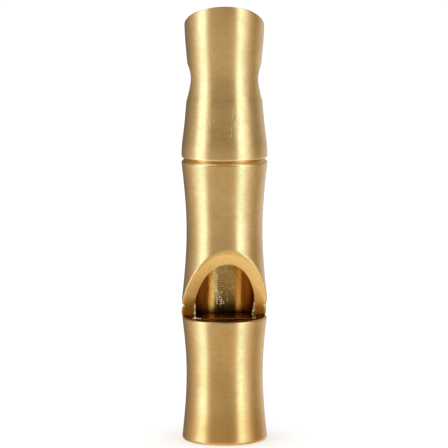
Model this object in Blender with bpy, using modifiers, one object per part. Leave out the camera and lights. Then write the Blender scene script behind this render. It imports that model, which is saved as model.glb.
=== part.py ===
"""Bamboo-shaped training whistle, solid brass.

A fixed-pitch pipe whistle turned to look like three internodes of bamboo.
It is made of three pressed-together pieces:

  whistle_tube  lower and middle internodes in one bored tube, with the sound
                window, the window's step and the decorative groove at the
                lower node
  head_cap      solid upper internode with a slanted end like cut bamboo, a
                neck cross-drilled for a cord or split ring with a shallow
                scallop at each mouth, and a spigot that stops the bore
  fipple_plug   D-section rod pressed into the mouthpiece end; its flat leaves
                the windway under the front wall of the tube

Frame: +Z up along the bore, origin at the centre of the mouthpiece end face,
window facing -Y (the front), cord eye running along X but turned slightly
with the head. Units are metres.
"""

import math

import bmesh
import bpy
from mathutils import Matrix, Vector

MM = 0.001

# ---------------------------------------------------------------- all pieces
TURNED_STEPS = 48               # facets around every turned piece
PRESS_GAP = 0.02 * MM           # radial, faceted stand-in for a press fit
SHARP_ANGLE = math.radians(28)

# ---------------------------------------------------------------------- tube
NODE_RADIUS = 5.75 * MM         # at the swollen nodes
PARTING_Z = 37.95 * MM          # parting line between tube and head
BORE_RADIUS = 3.90 * MM
BORE_EDGE_BREAK = 0.15 * MM     # at the mouth of the bore
MOUTH_RADIUS = NODE_RADIUS      # just above the mouthpiece end
MOUTH_CORNER = 0.42 * MM        # rounding of the mouthpiece's outer corner
MOUTH_CORNER_STEPS = 3

# slim middles of the internodes, as (height, radius)
LOWER_WAIST = (9.00 * MM, 5.14 * MM)
MIDDLE_WAIST = (28.30 * MM, 5.10 * MM)
LOWER_ROWS = 13
MIDDLE_ROWS = 15
MIDDLE_TOP_Z = PARTING_Z - 1.4 * MM     # highest row of the middle internode
MIDDLE_SWELL_Z = PARTING_Z - 0.6 * MM   # where its curve would reach the node radius

# decorative groove at the lower node
GROOVE_Z = 18.07 * MM
GROOVE_DEPTH = 0.31 * MM
GROOVE_HALF_WIDTH = 0.26 * MM
BELOW_GROOVE_Z = 16.95 * MM     # foot of the short parallel band below the groove
ABOVE_GROOVE_Z = 19.10 * MM     # top of the short parallel band above the groove
ABOVE_GROOVE_RADIUS = 5.72 * MM

# groove at the upper node, which is the parting line of two pieces
PARTING_DEPTH = 0.43 * MM
RIM_RADIUS = NODE_RADIUS - PARTING_DEPTH
RIM_LAND = 0.05 * MM            # short straight rim beside the parting line
TUBE_BEVEL = 0.33 * MM          # height of the bevel on the tube's upper end

# small bevels where a groove meets the outside, as (drop in radius, height)
LIP_ABOVE_GROOVE = (0.06 * MM, 0.18 * MM)
LIP_BELOW_GROOVE = (0.05 * MM, 0.15 * MM)
LIP_BELOW_PARTING = (0.04 * MM, 0.12 * MM)

# -------------------------------------------------------------------- window
STEP_Z = 16.60 * MM             # square step at the bottom of the window
BORE_RING_Z = STEP_Z - 1.0 * MM  # ring of vertices in the bore, below the step
LABIUM_Z = 24.10 * MM           # sharp edge where the ramp meets the bore
RAMP_SLOPE = 0.655              # forward travel per unit of height
WINDOW_CUTTER_RISE = 6.0 * MM   # of the cutter above the labium
WINDOW_CUTTER_REACH = 12.0 * MM  # forward of the axis
WINDOW_CUTTER_HALF_WIDTH = 9.0 * MM

# ---------------------------------------------------------------------- head
HEAD_STATIONS = (               # (height, radius) of the turned head, in mm
    (38.55, 5.74), (39.80, 5.69), (41.40, 5.49), (43.00, 5.31),
    (44.60, 5.17), (45.50, 5.08), (46.60, 4.95), (48.60, 4.87),
    (50.60, 4.94), (51.50, 5.02), (53.30, 5.18), (55.10, 5.29),
    (57.00, 5.33), (59.20, 5.34),
)
HEAD_ROWS = 24
HEAD_FOOT_RADIUS = HEAD_STATIONS[0][1] * MM
HEAD_TOP_RADIUS = HEAD_STATIONS[-1][1] * MM
HEAD_TURN = math.radians(-5.0)  # the head is pressed in turned this far from the window

SHOULDER_Z = PARTING_Z + 0.02 * MM      # a small gap above the tube's rim
SHOULDER_ROUND = 0.31 * MM              # height of the rounded shoulder
SHOULDER_STEPS = (1.0, 0.5, 0.2, 0.05, 0.0)  # fractions of that height

SPIGOT_LENGTH = 4.80 * MM
SPIGOT_EDGE_BREAK = 0.30 * MM

TOP_Z = 58.48 * MM              # front of the slanted end, the overall length
TOP_SLOPE = 0.49                # fall of the slanted end towards the back
END_CUTTER_REACH = 8.0 * MM     # to the front, to the back and above the top
END_CUTTER_HALF_WIDTH = 9.0 * MM

SCALLOP_RADIUS = 4.40 * MM      # of the cutter, its axis parallel to Y
SCALLOP_WAIST = 4.47 * MM       # half width left between the two scallops
SCALLOP_Z = 48.60 * MM
SCALLOP_STEPS = 64
EYE_RADIUS = 1.22 * MM          # cross hole for the cord
EYE_Z = 47.10 * MM
EYE_STEPS = 32
ROUND_CUTTER_LENGTH = 16.0 * MM

# ---------------------------------------------------------------------- plug
PLUG_FLAT = 2.07 * MM           # flat of the plug, measured forward of the axis
PLUG_INSET = 0.05 * MM          # of its lower end from the mouthpiece end face
PLUG_EDGE_BREAK = 0.20 * MM
WINDWAY_CUTTER_REACH = 6.0 * MM  # forward of the axis
WINDWAY_CUTTER_HALF_WIDTH = 6.0 * MM
WINDWAY_CUTTER_OVERRUN = 1.0 * MM  # past each end of the plug's place

PRESSED_RADIUS = BORE_RADIUS - PRESS_GAP  # of the spigot and the plug


# ------------------------------------------------------------------- helpers
def clear_scene():
    for obj in list(bpy.data.objects):
        bpy.data.objects.remove(obj, do_unlink=True)


def new_collection(name):
    made = bpy.data.collections.new(name)
    bpy.context.scene.collection.children.link(made)
    return made


def brass(name, colour, roughness):
    material = bpy.data.materials.new(name)
    material.use_nodes = True
    shader = material.node_tree.nodes["Principled BSDF"]
    shader.inputs["Base Color"].default_value = colour
    shader.inputs["Metallic"].default_value = 1.0
    shader.inputs["Roughness"].default_value = roughness
    material.diffuse_color = colour
    return material


def turned(name, profile, closed, where):
    """A profile of (radius, z) points, running down its outer side, turned about Z."""
    count = len(profile)
    edges = [(i, i + 1) for i in range(count - 1)]
    if closed:
        edges.append((count - 1, 0))
    mesh = bpy.data.meshes.new(name)
    mesh.from_pydata([(radius, 0.0, z) for radius, z in profile], edges, [])
    obj = bpy.data.objects.new(name, mesh)
    where.objects.link(obj)
    screw = obj.modifiers.new("turn", "SCREW")
    screw.axis = "Z"
    screw.angle = 2 * math.pi
    screw.steps = TURNED_STEPS
    screw.render_steps = TURNED_STEPS
    screw.use_merge_vertices = True
    screw.merge_threshold = 0.002 * MM
    screw.use_smooth_shade = True
    return obj


def finish(obj, material):
    obj.data.materials.append(material)
    obj.data.shade_smooth()
    obj.data.set_sharp_from_angle(angle=SHARP_ANGLE)


def cutter_from(shape, name, where):
    """Moves a bmesh into a new object that is hidden in renders."""
    mesh = bpy.data.meshes.new(name)
    shape.to_mesh(mesh)
    shape.free()
    obj = bpy.data.objects.new(name, mesh)
    obj.hide_render = True
    obj.display_type = "WIRE"
    where.objects.link(obj)
    return obj


def prism_cutter(name, outline, half_width, where):
    """A straight prism along X over an outline of (y, z) points."""
    shape = bmesh.new()
    face = shape.faces.new([shape.verts.new((-half_width, y, z)) for y, z in outline])
    grown = bmesh.ops.extrude_face_region(shape, geom=[face])
    moved = [v for v in grown["geom"] if isinstance(v, bmesh.types.BMVert)]
    bmesh.ops.translate(shape, verts=moved, vec=Vector((2 * half_width, 0, 0)))
    bmesh.ops.recalc_face_normals(shape, faces=shape.faces)
    return cutter_from(shape, name, where)


def round_cutter(name, radius, steps, location, rotation, where):
    shape = bmesh.new()
    bmesh.ops.create_cone(
        shape, cap_ends=True, segments=steps,
        radius1=radius, radius2=radius, depth=ROUND_CUTTER_LENGTH,
    )
    obj = cutter_from(shape, name, where)
    obj.location = location
    obj.rotation_euler = rotation
    return obj


def cut(obj, tool, name):
    boolean = obj.modifiers.new(name, "BOOLEAN")
    boolean.operation = "DIFFERENCE"
    boolean.solver = "EXACT"
    boolean.object = tool


def cut_head(head, tool, name):
    """Cuts the head after turning the cutter with it about the whistle's axis."""
    tool.matrix_world = Matrix.Rotation(HEAD_TURN, 4, "Z") @ tool.matrix_basis
    cut(head, tool, name)


def evenly(start, end, rows):
    return [start + (end - start) * i / rows for i in range(rows + 1)]


def internode(heights, waist, upper_node, lower_node):
    """(radius, z) points of an internode; waist and nodes are (height, radius)."""
    waist_z, waist_radius = waist
    points = []
    for z in heights:
        node_z, node_radius = upper_node if z > waist_z else lower_node
        along = (z - waist_z) / (node_z - waist_z)
        rise = 0.8 * along**2 + 0.2 * (1 - math.cos(math.pi * along)) / 2
        points.append((waist_radius + (node_radius - waist_radius) * rise, z))
    return points


def smooth_through(stations, z):
    """Cubic that passes through every station, flat at both ends.

    The slope at an inner station is that between its two neighbours.
    """
    last = len(stations) - 1

    def slope(i):
        if i in (0, last):
            return 0.0
        (below_z, below_radius), (above_z, above_radius) = stations[i - 1], stations[i + 1]
        return (above_radius - below_radius) / (above_z - below_z)

    i = 0
    while i < last - 1 and z > stations[i + 1][0]:
        i += 1
    (low_z, low_radius), (high_z, high_radius) = stations[i], stations[i + 1]
    span = high_z - low_z
    along = (z - low_z) / span
    return (
        (2 * along**3 - 3 * along**2 + 1) * low_radius
        + (along**3 - 2 * along**2 + along) * span * slope(i)
        + (-2 * along**3 + 3 * along**2) * high_radius
        + (along**3 - along**2) * span * slope(i + 1)
    )


# ---------------------------------------------------------------------- tube
def tube_profile():
    """Closed section of the tube, from the parting line down and back up."""
    drop, height = LIP_BELOW_PARTING
    bevel_foot = PARTING_Z - RIM_LAND - TUBE_BEVEL
    points = [
        (RIM_RADIUS, PARTING_Z),
        (RIM_RADIUS, PARTING_Z - RIM_LAND),
        (NODE_RADIUS - drop, bevel_foot),
        (NODE_RADIUS, bevel_foot - height),
    ]
    points += internode(
        evenly(MIDDLE_TOP_Z, ABOVE_GROOVE_Z, MIDDLE_ROWS), MIDDLE_WAIST,
        upper_node=(MIDDLE_SWELL_Z, NODE_RADIUS),
        lower_node=(ABOVE_GROOVE_Z, ABOVE_GROOVE_RADIUS),
    )

    upper_drop, upper_height = LIP_ABOVE_GROOVE
    lower_drop, lower_height = LIP_BELOW_GROOVE
    points += [
        (ABOVE_GROOVE_RADIUS, GROOVE_Z + GROOVE_HALF_WIDTH + upper_height),
        (ABOVE_GROOVE_RADIUS - upper_drop, GROOVE_Z + GROOVE_HALF_WIDTH),
        (NODE_RADIUS - GROOVE_DEPTH, GROOVE_Z),
        (NODE_RADIUS - lower_drop, GROOVE_Z - GROOVE_HALF_WIDTH),
        (NODE_RADIUS, GROOVE_Z - GROOVE_HALF_WIDTH - lower_height),
    ]
    points += internode(
        evenly(BELOW_GROOVE_Z, MOUTH_CORNER, LOWER_ROWS), LOWER_WAIST,
        upper_node=(BELOW_GROOVE_Z, NODE_RADIUS),
        lower_node=(0.0, MOUTH_RADIUS),
    )

    corner_radius = points[-1][0]
    for i in range(1, MOUTH_CORNER_STEPS + 1):
        turn = math.pi / 2 * i / MOUTH_CORNER_STEPS
        points.append((
            corner_radius - MOUTH_CORNER * (1 - math.cos(turn)),
            MOUTH_CORNER * (1 - math.sin(turn)),
        ))
    return points + [
        (BORE_RADIUS + BORE_EDGE_BREAK, 0.0),
        (BORE_RADIUS, BORE_EDGE_BREAK),
        (BORE_RADIUS, BORE_RING_Z),
        (BORE_RADIUS, PARTING_Z),
    ]


def build_tube(pieces, cutters):
    """The tube, with the ramped window cut down to a square step."""
    def ramp(z):
        return -(BORE_RADIUS + RAMP_SLOPE * (z - LABIUM_Z))

    tube = turned("whistle_tube", tube_profile(), True, pieces)
    high = LABIUM_Z + WINDOW_CUTTER_RISE
    window = prism_cutter(
        "window_cutter",
        [(ramp(STEP_Z), STEP_Z), (ramp(high), high),
         (-WINDOW_CUTTER_REACH, high), (-WINDOW_CUTTER_REACH, STEP_Z)],
        WINDOW_CUTTER_HALF_WIDTH, cutters,
    )
    cut(tube, window, "window")
    finish(tube, brass("tube_brass", colour=(0.74, 0.53, 0.25, 1.0), roughness=0.30))


# ---------------------------------------------------------------------- head
def head_profile():
    """Open section of the head's blank, over-long, down to the spigot's end."""
    low_z, high_z = HEAD_STATIONS[0][0], HEAD_STATIONS[-1][0]
    points = [(0.0, high_z * MM)]
    for z in evenly(high_z, low_z, HEAD_ROWS):
        points.append((smooth_through(HEAD_STATIONS, z) * MM, z * MM))
    for up in SHOULDER_STEPS:
        inward = 1 - math.sqrt(up * (2 - up))
        points.append((
            HEAD_FOOT_RADIUS - (HEAD_FOOT_RADIUS - RIM_RADIUS) * inward,
            SHOULDER_Z + RIM_LAND + SHOULDER_ROUND * up,
        ))
    spigot_end = SHOULDER_Z - SPIGOT_LENGTH
    return points + [
        (RIM_RADIUS, SHOULDER_Z),
        (PRESSED_RADIUS, SHOULDER_Z),
        (PRESSED_RADIUS, spigot_end + SPIGOT_EDGE_BREAK),
        (PRESSED_RADIUS - SPIGOT_EDGE_BREAK, spigot_end),
        (0.0, spigot_end),
    ]


def build_head(pieces, cutters):
    """The head, cut off on the slant, scalloped at both sides and cross-drilled."""
    def slant(y):
        return TOP_Z - TOP_SLOPE * (y + HEAD_TOP_RADIUS)

    head = turned("head_cap", head_profile(), False, pieces)
    reach = END_CUTTER_REACH
    end = prism_cutter(
        "end_cutter",
        [(-reach, slant(-reach)), (reach, slant(reach)),
         (reach, TOP_Z + reach), (-reach, TOP_Z + reach)],
        END_CUTTER_HALF_WIDTH, cutters,
    )
    cut_head(head, end, "slanted_end")

    for side, name in ((-1, "left"), (1, "right")):
        scallop = round_cutter(
            "scallop_cutter_" + name, SCALLOP_RADIUS, SCALLOP_STEPS,
            location=(side * (SCALLOP_WAIST + SCALLOP_RADIUS), 0.0, SCALLOP_Z),
            rotation=(math.pi / 2, 0.0, 0.0), where=cutters,
        )
        cut_head(head, scallop, "scallop_" + name)

    eye = round_cutter(
        "eye_cutter", EYE_RADIUS, EYE_STEPS,
        location=(0.0, 0.0, EYE_Z), rotation=(0.0, math.pi / 2, 0.0), where=cutters,
    )
    cut_head(head, eye, "cord_eye")
    finish(head, brass("head_brass", colour=(0.74, 0.53, 0.25, 1.0), roughness=0.30))


# ---------------------------------------------------------------------- plug
def plug_profile():
    return [
        (0.0, STEP_Z),
        (PRESSED_RADIUS, STEP_Z),
        (PRESSED_RADIUS, PLUG_INSET + PLUG_EDGE_BREAK),
        (PRESSED_RADIUS - PLUG_EDGE_BREAK, PLUG_INSET),
        (0.0, PLUG_INSET),
    ]


def build_plug(pieces, cutters):
    """The plug, flattened along its front to leave the windway."""
    plug = turned("fipple_plug", plug_profile(), False, pieces)
    low, high = -WINDWAY_CUTTER_OVERRUN, STEP_Z + WINDWAY_CUTTER_OVERRUN
    flat = prism_cutter(
        "windway_cutter",
        [(-PLUG_FLAT, low), (-PLUG_FLAT, high),
         (-WINDWAY_CUTTER_REACH, high), (-WINDWAY_CUTTER_REACH, low)],
        WINDWAY_CUTTER_HALF_WIDTH, cutters,
    )
    cut(plug, flat, "windway_flat")
    finish(plug, brass("plug_brass", colour=(0.62, 0.42, 0.17, 1.0), roughness=0.22))


def build():
    clear_scene()
    pieces = new_collection("bamboo_whistle")
    cutters = new_collection("cutters")
    build_tube(pieces, cutters)
    build_head(pieces, cutters)
    build_plug(pieces, cutters)


build()
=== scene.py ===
"""Looks of a bamboo-shaped brass whistle, built around its CAD frame.

The whistle stands on the Z axis with its mouth end at z = 0. The window is cut in the front
(-Y), so +X is on the right seen from the front. A fine mesh takes the place of each turned
solid: the tube with its window, the slant-cut head with its drilled eye, and the windway plug.
Lengths of the whistle are in millimetres until a mesh is written; the stage is in metres.
"""

import math
from types import SimpleNamespace

import bmesh
import bpy
import numpy as np
from mathutils import Matrix, Vector


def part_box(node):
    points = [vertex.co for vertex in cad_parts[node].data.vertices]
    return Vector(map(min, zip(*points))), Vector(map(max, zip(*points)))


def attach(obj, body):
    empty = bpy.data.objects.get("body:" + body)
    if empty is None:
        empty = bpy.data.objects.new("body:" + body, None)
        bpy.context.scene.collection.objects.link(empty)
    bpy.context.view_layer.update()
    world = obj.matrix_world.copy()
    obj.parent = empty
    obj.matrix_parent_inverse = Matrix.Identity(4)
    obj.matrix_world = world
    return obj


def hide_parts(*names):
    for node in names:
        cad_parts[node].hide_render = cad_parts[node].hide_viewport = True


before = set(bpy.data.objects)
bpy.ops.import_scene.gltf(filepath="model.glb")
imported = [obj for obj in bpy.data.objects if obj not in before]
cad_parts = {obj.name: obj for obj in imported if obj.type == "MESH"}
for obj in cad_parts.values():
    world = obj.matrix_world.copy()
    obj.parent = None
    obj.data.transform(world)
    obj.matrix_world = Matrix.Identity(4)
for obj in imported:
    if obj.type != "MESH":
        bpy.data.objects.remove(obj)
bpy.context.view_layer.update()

MM = 0.001

# ------------------------------------------------------------------ dimensions
_, TUBE_HIGH = (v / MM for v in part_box("whistle_tube"))
HEAD_LOW, HEAD_HIGH = (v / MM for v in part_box("head_cap"))
PLUG_LOW, PLUG_HIGH = (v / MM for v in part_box("fipple_plug"))

# tube: radii, and the heights they belong to
R_NODE = 5.75                   # swollen nodes
R_NODE_MID = 5.72               # just above the groove
R_MOUTH = 5.75
R_WAIST_LOW = 5.14
R_WAIST_MID = 5.10
R_BORE = 3.90
R_CORNER = 0.42                 # rounding of the lower outer edge
Z_WAIST_LOW = 9.00
Z_BAND_LOW = 16.95
Z_GROOVE = 18.07
Z_BAND_HIGH = 19.10
Z_WAIST_MID = 28.30
Z_PART = TUBE_HIGH.z            # parting line of tube and head
Z_NODE_TOP = Z_PART - 0.6       # the upper node is full from here
Z_STEP = PLUG_HIGH.z            # the plug's inner end is flush with the window's step
Z_LABIUM = 24.10                # the ramp meets the bore here
RAMP_SLOPE = 0.655
RAMP_NORMAL = np.array([0.0, -1.0, -RAMP_SLOPE])
RAMP_NORMAL = RAMP_NORMAL / np.linalg.norm(RAMP_NORMAL)

# head
HEAD_STATIONS = np.array([      # height, radius
    (38.55, 5.74), (39.80, 5.69), (41.40, 5.49), (43.00, 5.31),
    (44.60, 5.17), (45.50, 5.08), (46.60, 4.95), (48.60, 4.87),
    (50.60, 4.94), (51.50, 5.02), (53.30, 5.18), (55.10, 5.29),
    (57.00, 5.33), (59.20, 5.34),
])
Z_HEAD = Z_PART + 0.02          # underside of the shoulder
Z_TOP = HEAD_HIGH.z
R_TOP = HEAD_STATIONS[-1, 1]
TOP_SLOPE = 0.49
SCALLOP_R = 4.40                # curve of the hollow on each side
SCALLOP_WAIST = 4.47            # half the width left between the hollows
Z_SCALLOP = 48.60
EYE_R = 1.22
EYE_EDGE = 0.17                 # rounding of the eye's mouths
Z_EYE = 47.10
SPIGOT_Z = HEAD_LOW.z
SPIGOT_R = 3.88
HEAD_TURN = math.radians(-5.0)  # the head is pressed in turned this far from the window

# plug
PLUG_R = 3.88
PLUG_FLAT = -PLUG_LOW.y         # forward of the axis
PLUG_EDGE = 0.06                # bevel round the inner end

COLUMNS = 288                   # around each turned piece
SHARP_ANGLE = math.radians(32.0)


# ------------------------------------------------------------------ small maths
def smoothstep(a, b, x):
    t = np.clip((x - a) / (b - a), 0.0, 1.0)
    return t * t * (3 - 2 * t)


def waist(z, z_slim, z_swell, r_slim, r_swell):
    t = (z - z_slim) / (z_swell - z_slim)
    return r_slim + (r_swell - r_slim) * (0.8 * t * t + 0.2 * (1 - np.cos(np.pi * t)) / 2)


def soft_groove(distance, depth, half, soft):
    """Depth of a V groove with rounded lips and a slightly rounded root."""
    d = np.sqrt(distance**2 + 0.03**2) - 0.03
    x = (half - d) / soft
    return depth * soft * np.logaddexp(0.0, x) / half


def unique_rows(*parts):
    return np.unique(np.round(np.concatenate(parts), 5))


class Wander:
    """Smooth seeded noise in up to three dimensions, by summed sines."""

    def __init__(self, seed, terms, low, high):
        rng = np.random.default_rng(seed)
        self.frequency = rng.uniform(low, high, (terms, 3))
        self.phase = rng.uniform(0, 2 * np.pi, terms)
        self.size = rng.uniform(0.4, 1.0, terms)
        self.size /= np.sqrt((self.size**2).sum() / 2)

    def __call__(self, *xyz):
        total = 0.0
        for i, phase in enumerate(self.phase):
            angle = phase
            for axis, x in enumerate(xyz):
                angle = angle + self.frequency[i, axis] * x
            total = total + self.size[i] * np.sin(angle)
        return total


# ---------------------------------------------------------------- outer profile
def tube_radius(z):
    z = np.asarray(z, float)
    low_up = waist(z, Z_WAIST_LOW, Z_BAND_LOW, R_WAIST_LOW, R_NODE)
    low_down = waist(z, Z_WAIST_LOW, 0.0, R_WAIST_LOW, R_MOUTH)
    mid_up = waist(z, Z_WAIST_MID, Z_NODE_TOP, R_WAIST_MID, R_NODE)
    mid_down = waist(z, Z_WAIST_MID, Z_BAND_HIGH, R_WAIST_MID, R_NODE_MID)
    r = np.where(z < Z_WAIST_LOW, low_down, np.minimum(low_up, R_NODE))
    swell = smoothstep(Z_GROOVE - 0.3, Z_GROOVE + 0.3, z)
    r = np.where(z > Z_BAND_LOW, R_NODE + (R_NODE_MID - R_NODE) * swell, r)
    middle = np.where(
        z > Z_WAIST_MID, np.minimum(mid_up, R_NODE), np.minimum(mid_down, R_NODE_MID))
    middle = np.where(z > Z_NODE_TOP, R_NODE, middle)
    r = np.where(z > Z_BAND_HIGH, middle, r)
    r = r - soft_groove(z - Z_GROOVE, depth=0.31, half=0.26, soft=0.05)
    # the tube's upper end is chamfered down to a short land
    r = r - np.minimum(0.04 * np.logaddexp(0.0, (z - Z_PART + 0.38) / 0.04) * 1.30, 0.43)
    # the window's legs stand very slightly proud of the mouthpiece
    r = r + 0.05 * smoothstep(Z_STEP, Z_STEP + 0.12, z) * (1 - smoothstep(17.3, 17.8, z))
    drop = np.clip(R_CORNER - z, 0, R_CORNER)
    return r - (R_CORNER - np.sqrt(np.maximum(R_CORNER**2 - drop**2, 0.0)))


def hermite(stations, z):
    """Smooth curve through the stations, level at both ends."""
    zs, rs = stations[:, 0], stations[:, 1]
    slopes = np.zeros(len(zs))
    slopes[1:-1] = (rs[2:] - rs[:-2]) / (zs[2:] - zs[:-2])
    i = np.clip(np.searchsorted(zs, z, side="right") - 1, 0, len(zs) - 2)
    h = zs[i + 1] - zs[i]
    t = np.clip((z - zs[i]) / h, 0, 1)
    return (
        (2 * t**3 - 3 * t**2 + 1) * rs[i] + (t**3 - 2 * t**2 + t) * h * slopes[i]
        + (-2 * t**3 + 3 * t**2) * rs[i + 1] + (t**3 - t**2) * h * slopes[i + 1]
    )


def head_radius(z):
    z = np.asarray(z, float)
    r = hermite(HEAD_STATIONS, np.clip(z, HEAD_STATIONS[0, 0], HEAD_STATIONS[-1, 0]))
    # a square shoulder stands over the parting line
    rise = np.clip((z - Z_PART - 0.04) / 0.31, 0, 1)
    return r - 0.43 * (1 - np.sqrt(np.maximum(rise * (2 - rise), 0.0)))


def neck_x(x, z):
    """Pulls a point's x in to the scallops that clear the mouths of the eye."""
    dz = np.clip(np.abs(z - Z_SCALLOP), 0, SCALLOP_R * 0.98)
    limit = SCALLOP_WAIST + SCALLOP_R - np.sqrt(SCALLOP_R**2 - dz**2)
    blur = 0.035
    width = np.abs(x)
    low = np.minimum(width, limit)
    kept = low - blur * np.log1p(np.exp(-np.abs(width - limit) / blur))
    near = smoothstep(0.9, 1.6, width)
    return np.sign(x) * (near * kept + (1 - near) * low)


def slant(y):
    """Height of the slanted end at depth y."""
    return Z_TOP - TOP_SLOPE * (y + R_TOP)


def ramp(z):
    """Forward depth of the window's ramp at height z."""
    return R_BORE + RAMP_SLOPE * (z - Z_LABIUM)


# -------------------------------------------------------------------- mesh tools
class Patches:
    """Collects the points and faces of one piece, with a named material slot per face."""

    def __init__(self, *slot_names):
        self.slot_names = slot_names
        self.points = []
        self.edge = []
        self.count = 0
        self.faces = []
        self.slots = []

    def add(self, points, edge=0.0):
        """Adds an array of points; edge is how worn they are. Gives their ids."""
        points = np.asarray(points, float)
        shape = points.shape[:-1]
        self.points.append(points.reshape(-1, 3))
        self.edge.append(np.broadcast_to(edge, shape).reshape(-1))
        start = self.count
        self.count += math.prod(shape)
        return np.arange(start, self.count).reshape(shape)

    def face(self, ids, slot):
        self.faces.append(ids)
        self.slots.append(self.slot_names.index(slot))

    def quads(self, ids, slot, wrap=False, flip=False):
        """Faces of a grid of ids. slot is a name, or gives one (or None) for a row and column."""
        rows, cols = ids.shape
        for r in range(rows - 1):
            for c in range(cols if wrap else cols - 1):
                name = slot(r, c) if callable(slot) else slot
                if name is None:
                    continue
                d = (c + 1) % cols
                face = [ids[r, c], ids[r, d], ids[r + 1, d], ids[r + 1, c]]
                self.face(face[::-1] if flip else face, name)

    def grid(self, points, slot, edge=0.0, wrap=False, flip=False):
        ids = self.add(points, edge)
        self.quads(ids, slot, wrap, flip)
        return ids

    def fan(self, ring, middle, slot):
        """Closes a ring of ids with triangles to a middle point."""
        apex = self.add([middle])[0]
        for c in range(len(ring)):
            self.face([ring[c], ring[(c + 1) % len(ring)], apex], slot)

    def build(self, name, materials, turn=0.0):
        points = np.concatenate(self.points)
        cos, sin = math.cos(turn), math.sin(turn)
        points[:, :2] = points[:, :2] @ np.array([[cos, sin], [-sin, cos]])
        edge = np.concatenate(self.edge)
        # weld points that coincide, so that neighbouring patches share their borders
        key = np.round(points / 1e-4).astype(np.int64)
        _, first, back = np.unique(key, axis=0, return_index=True, return_inverse=True)
        back = back.reshape(-1)
        faces, slots = [], []
        for face, slot in zip(self.faces, self.slots):
            kept = []
            for v in back[face]:
                if not kept or v != kept[-1]:
                    kept.append(int(v))
            if len(kept) > 1 and kept[0] == kept[-1]:
                kept.pop()
            if len(set(kept)) >= 3 and len(set(kept)) == len(kept):
                faces.append(kept)
                slots.append(slot)
        mesh = bpy.data.meshes.new(name)
        mesh.from_pydata((points[first] * MM).tolist(), [], faces)
        mesh.polygons.foreach_set("material_index", np.array(slots, np.int32))
        worn = mesh.attributes.new("edge", "FLOAT", "POINT")
        worn.data.foreach_set("value", edge[first].astype(np.float32))
        mesh.validate()
        work = bmesh.new()
        work.from_mesh(mesh)
        loose = [v for v in work.verts if not v.link_faces]
        bmesh.ops.delete(work, geom=loose, context="VERTS")
        bmesh.ops.recalc_face_normals(work, faces=work.faces)
        work.to_mesh(mesh)
        work.free()
        for material in materials:
            mesh.materials.append(material)
        mesh.shade_smooth()
        mesh.set_sharp_from_angle(angle=SHARP_ANGLE)
        obj = bpy.data.objects.new(name, mesh)
        bpy.context.scene.collection.objects.link(obj)
        return obj


def round_point(theta, r, z):
    """theta is measured from the front (-Y) towards +X."""
    theta, r, z = np.broadcast_arrays(theta, r, z)
    return np.stack([r * np.sin(theta), -r * np.cos(theta), z], axis=-1)


def span(a, b, shares):
    """Rows of points on straight lines from a to b."""
    t = shares[:, None, None]
    return (1 - t) * a + t * b


def bend(a, corner, b, steps):
    """Rounded edge: a strip of points from a to b that leans on the corner."""
    t = np.linspace(0, 1, steps + 1)[:, None, None]
    return (1 - t) ** 2 * a + 2 * t * (1 - t) * corner + t**2 * b


def inward(start, goal, distance):
    """Points moved from start towards goal by a distance each."""
    way = goal - start
    length = np.linalg.norm(way, axis=-1, keepdims=True)
    return start + way / length * distance[:, None]


# ---------------------------------------------------------------------- window
END_FADE = 0.03                 # share of the half width in which edges fade out at the legs
UNEVEN = Wander(11, 8, 0.4, 2.2)
BURR = Wander(23, 12, 2.0, 9.0)


def arch_height(theta, radius_of, z_high):
    """Height where the ramp leaves a surface of revolution, by bisection."""
    low = np.full_like(theta, Z_STEP)
    high = np.full_like(theta, z_high)
    for _ in range(50):
        mid = (low + high) / 2
        cut = radius_of(mid) * np.cos(theta) > ramp(mid)
        low = np.where(cut, mid, low)
        high = np.where(cut, high, mid)
    return (low + high) / 2


def window_columns(reach, inside):
    """Column angles round the tube, the first of them from -reach to +reach."""
    front = np.linspace(-reach, reach, inside + 1)
    back = np.linspace(reach, 2 * math.pi - reach, COLUMNS - inside + 1)[1:-1]
    return np.concatenate([front, back])


def fade_out(across, width):
    """1 over the window, falling to 0 at its two ends."""
    return np.clip((1 - np.abs(across)) / width, 0, 1)


def border(theta, across, tip, radius_of, arch, above, below):
    """The window's outline on a surface of revolution.

    across runs from -1 to 1 over the window. The ramp's and the step's sharp corners lie at
    arch and Z_STEP; the surface stops short of them at above and below.
    """
    front = theta[: len(across)]

    def all_round(heights):
        limit = np.full(len(theta), Z_STEP)
        limit[: len(across)] = heights
        return limit

    return SimpleNamespace(
        theta=theta, across=across,
        ramp_edge=round_point(front, radius_of(above), above),
        ramp_corner=round_point(across * tip, radius_of(arch), arch),
        step_edge=round_point(front, radius_of(below), below),
        step_corner=round_point(across * tip, radius_of(Z_STEP), Z_STEP),
        low_limit=all_round(below), high_limit=all_round(above),
    )


def outer_border():
    r_step = float(tube_radius(Z_STEP))
    tip = math.acos(ramp(Z_STEP) / r_step)
    reach = tip + 0.05 / r_step
    inside = int(round(COLUMNS * reach / math.pi / 2)) * 2
    theta = window_columns(reach, inside)
    across = theta[: inside + 1] / reach
    off = np.abs(across)
    arch = arch_height(across * tip, tube_radius, Z_LABIUM + 6)
    # the outer arch is softened most at its crown, and again down the +X leg
    soft = (0.05 + 0.05 * (1 - smoothstep(0.75, 0.9, off))
            + 0.36 * np.clip(1 - off**0.9, 0, 1) ** 1.3)
    soft = soft + 0.20 * smoothstep(0.70, 0.86, across)
    soft = soft * fade_out(across, 0.05)
    slope = np.gradient(arch, r_step * across * tip)
    lift = soft * np.sqrt(1 + slope**2) * 0.9
    above = arch + np.minimum(lift, 1.3 * soft + 0.25 * (lift > 0))
    above[0] = above[-1] = Z_STEP
    below = Z_STEP - 0.26 * fade_out(across, END_FADE)
    outline = border(theta, across, tip, tube_radius, arch, above, below)
    outline.soft = soft
    return outline


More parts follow.
